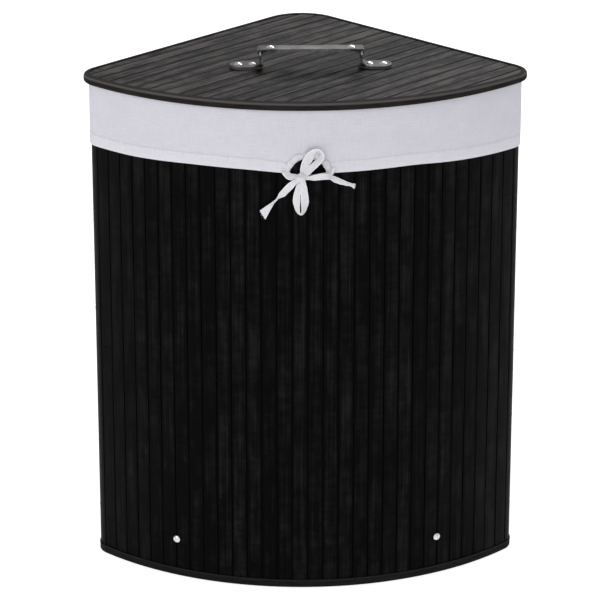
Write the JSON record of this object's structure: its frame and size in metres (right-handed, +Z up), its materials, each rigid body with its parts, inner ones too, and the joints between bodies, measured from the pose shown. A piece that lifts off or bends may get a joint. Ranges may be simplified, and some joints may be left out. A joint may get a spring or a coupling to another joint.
{
  "type": "laundry hamper",
  "caption": "Corner laundry hamper with slatted walls, a fold-over cotton liner tied at the front, and a lift-off lid with a strap handle.",
  "frame": {"origin": "on the floor, under the middle of the lid's plan", "axes": "+Z up, -Y out of the curved front, +Y to the back corner, +X to the right seen from the front"},
  "size_m": [0.5098, 0.3743, 0.6248],
  "materials": {
    "bamboo": "black stained bamboo, satin lacquer",
    "lid_bamboo": "black stained bamboo, satin lacquer",
    "backing_cloth": "plain woven",
    "ribbon": "ribbed woven ribbon",
    "hoop_steel": "black paint",
    "fibre_board": "black faced board",
    "screw_steel": "nickel plated",
    "cotton": "plain woven cotton",
    "string_cotton": "soft woven cotton tape",
    "leather": "smooth, slightly grained",
    "rivet_steel": "nickel plated, domed",
    "ring_wire": "dark nickel wire"
  },
  "bodies": {
    "basket": {"front_slats": "bamboo", "left_wall_slats": "bamboo", "right_wall_slats": "bamboo", "front_corner_slats": "bamboo", "back_corner_slats": "bamboo", "wall_backing": "backing_cloth", "bottom_binding": "ribbon", "top_binding": "ribbon", "rim_hoop": "hoop_steel", "base_board": "fibre_board", "base_screws": "screw_steel", "liner_bag": "cotton", "cuff_casing": "cotton", "drawstring_run": "string_cotton", "bow_knot": "string_cotton", "string_left": "string_cotton", "string_right": "string_cotton", "tail_right": "string_cotton", "tail_left": "string_cotton", "loop_low": "string_cotton", "loop_high": "string_cotton"},
    "lid": {"lid_board": "fibre_board", "lid_slats": "lid_bamboo", "lid_binding": "ribbon", "lid_lining": "backing_cloth", "tab_left": "leather", "tab_right": "leather", "tab_rivets": "rivet_steel", "rivet_washers": "screw_steel"},
    "ring_left": {"ring_left": "ring_wire"},
    "ring_right": {"ring_right": "ring_wire"},
    "strap": {"handle_strap": "leather", "strap_rivets": "rivet_steel"}
  },
  "joints": [
    {"name": "lid_lift", "type": "slide", "parent": "basket", "child": "lid", "axis": [0, 0, 1], "range_m": [0, 0.15]},
    {"name": "ring_left_pivot", "type": "hinge", "parent": "lid", "child": "ring_left", "pos_m": [-0.0519, -0.0414, 0.603], "axis": [0, 1, 0], "range_deg": [-60, 60]},
    {"name": "ring_right_pivot", "type": "hinge", "parent": "lid", "child": "ring_right", "pos_m": [0.0649, -0.0414, 0.603], "axis": [0, 1, 0], "range_deg": [-60, 60]},
    {"name": "strap_pivot", "type": "hinge", "parent": "ring_left", "child": "strap", "pos_m": [-0.0519, -0.0414, 0.6194], "axis": [0, 1, 0], "range_deg": [-60, 60]}
  ],
  "couplings": [
    {"joint": "ring_right_pivot", "follows": "ring_left_pivot", "ratio": 1},
    {"joint": "strap_pivot", "follows": "ring_left_pivot", "ratio": -1}
  ]
}
